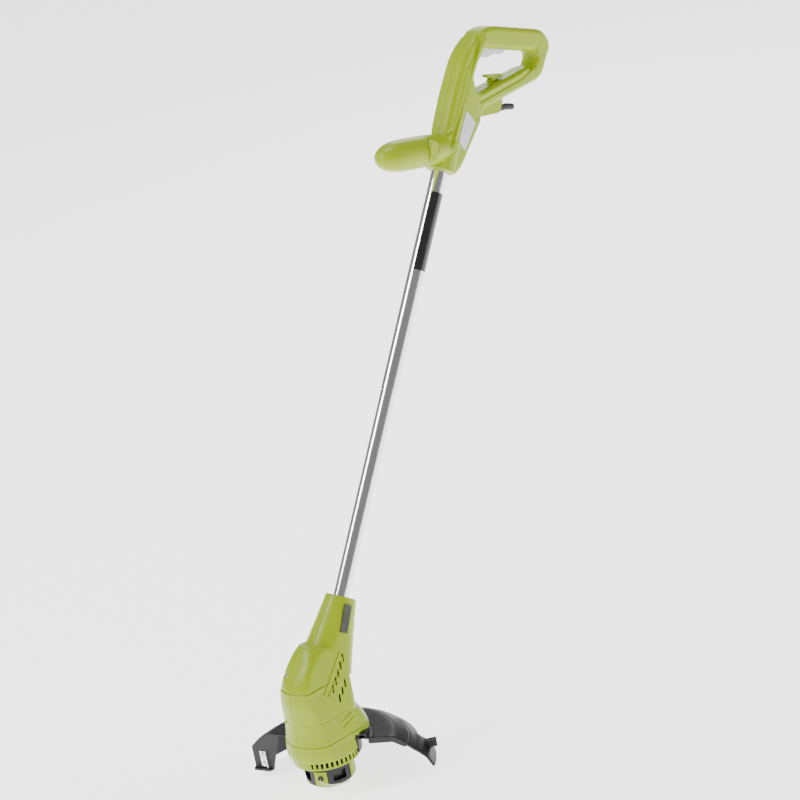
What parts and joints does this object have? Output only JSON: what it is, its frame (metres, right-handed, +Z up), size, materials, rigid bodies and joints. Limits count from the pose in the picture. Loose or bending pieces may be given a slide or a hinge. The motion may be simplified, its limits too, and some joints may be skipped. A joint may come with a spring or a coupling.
{
  "type": "string trimmer",
  "caption": "Corded string trimmer: D-grip handle with forward pommel and swivelling tube, motor head with bump-feed line spool, fan-shaped guard and line cutter.",
  "frame": {"origin": "middle of the rear bar of the D grip, where the user's rear hand or a wall clip holds it", "axes": "+Z up along the spool's axis, -Y the way the user faces, +X the user's left; the tube leans rearward by 35 degrees from +Z"},
  "size_m": [0.2502, 0.7251, 0.8859],
  "materials": {
    "lime_plastic": "satin",
    "black_plastic": "satin",
    "grey_inlay": "satin",
    "trigger_plastic": "satin",
    "tube_metal": "polished",
    "decal_film": "gloss",
    "badge_plate": "gloss",
    "boot_rubber": "matte",
    "lead_rubber": "matte",
    "steel": "brushed",
    "blade_steel": "ground",
    "spring_steel": "drawn",
    "laminations": "stacked",
    "copper": "enamelled wire",
    "brass": "turned",
    "carbon": "matte",
    "nylon_line": "satin",
    "bush_plastic": "matte"
  },
  "bodies": {
    "handle": {"handle_left": "lime_plastic", "handle_right": "lime_plastic", "handle_screws": "steel", "side_panel_left": "grey_inlay", "side_panel_right": "grey_inlay", "cord_hook": "lime_plastic", "cord_boot": "boot_rubber", "mains_lead": "lead_rubber", "switched_lead": "lead_rubber", "cord_clamp": "black_plastic", "clamp_screws": "steel", "switch_body": "black_plastic", "trigger_pin": "steel", "trigger_spring": "spring_steel", "button_spring": "spring_steel"},
    "trigger": {"trigger": "trigger_plastic"},
    "plunger": {"switch_plunger": "black_plastic"},
    "button": {"swivel_button": "lime_plastic"},
    "shaft": {"swivel_bush": "bush_plastic", "upper_tube": "tube_metal", "lower_tube": "tube_metal", "tube_screw": "steel", "tube_decal": "decal_film", "motor_lead": "lead_rubber", "head_left": "lime_plastic", "head_right": "lime_plastic", "casing_screws": "steel", "head_badge": "badge_plate", "vent_ring": "lime_plastic", "motor_bracket": "black_plastic", "lower_bearing": "steel", "upper_bearing": "steel", "brush_plate": "black_plastic", "brush_holders": "brass", "carbon_brushes": "carbon", "field_core": "laminations", "field_coils": "copper", "guard": "black_plastic", "guard_screws": "steel", "line_cutter": "blade_steel", "cutter_screws": "steel"},
    "rotor": {"motor_shaft": "steel", "armature_core": "laminations", "armature_windings": "copper", "commutator": "brass", "fan": "black_plastic", "spool_drum": "black_plastic", "spool_cap": "lime_plastic", "eyelets": "steel", "cutting_line": "nylon_line", "feed_spring": "spring_steel"},
    "knob": {"bump_knob": "black_plastic", "line_spool": "black_plastic", "wound_line": "nylon_line"}
  },
  "joints": [
    {"name": "trigger_pull", "type": "hinge", "parent": "handle", "child": "trigger", "pos_m": [0, -0.05899, 0.03788], "axis": [-1, 0, 0], "range_deg": [0, 7], "stiffness_Nm_per_rad": 0.8, "springref_deg": -8.59, "deforming": ["trigger_spring"]},
    {"name": "plunger_press", "type": "slide", "parent": "handle", "child": "plunger", "axis": [0, 0.309, 0.9511], "range_m": [0, 0.0023]},
    {"name": "button_press", "type": "slide", "parent": "handle", "child": "button", "axis": [-1, 0, 0], "range_m": [0, 0.003], "stiffness_N_per_m": 900, "springref_m": -0.003, "deforming": ["button_spring"]},
    {"name": "head_swivel", "type": "hinge", "parent": "handle", "child": "shaft", "pos_m": [0, -0.23005, -0.08795], "axis": [0, 0.5736, 0.8192], "range_deg": [0, 180]},
    {"name": "spool_spin", "type": "hinge", "parent": "shaft", "child": "rotor", "pos_m": [0, -0.65186, -0.76666], "axis": [0, 0, 1], "continuous": true},
    {"name": "bump_press", "type": "slide", "parent": "rotor", "child": "knob", "axis": [0, 0, 1], "range_m": [0, 0.004], "stiffness_N_per_m": 1500, "springref_m": -0.004, "deforming": ["feed_spring"]}
  ],
  "couplings": [
    {"joint": "plunger_press", "follows": "trigger_pull", "m_per_rad": 0.018}
  ]
}
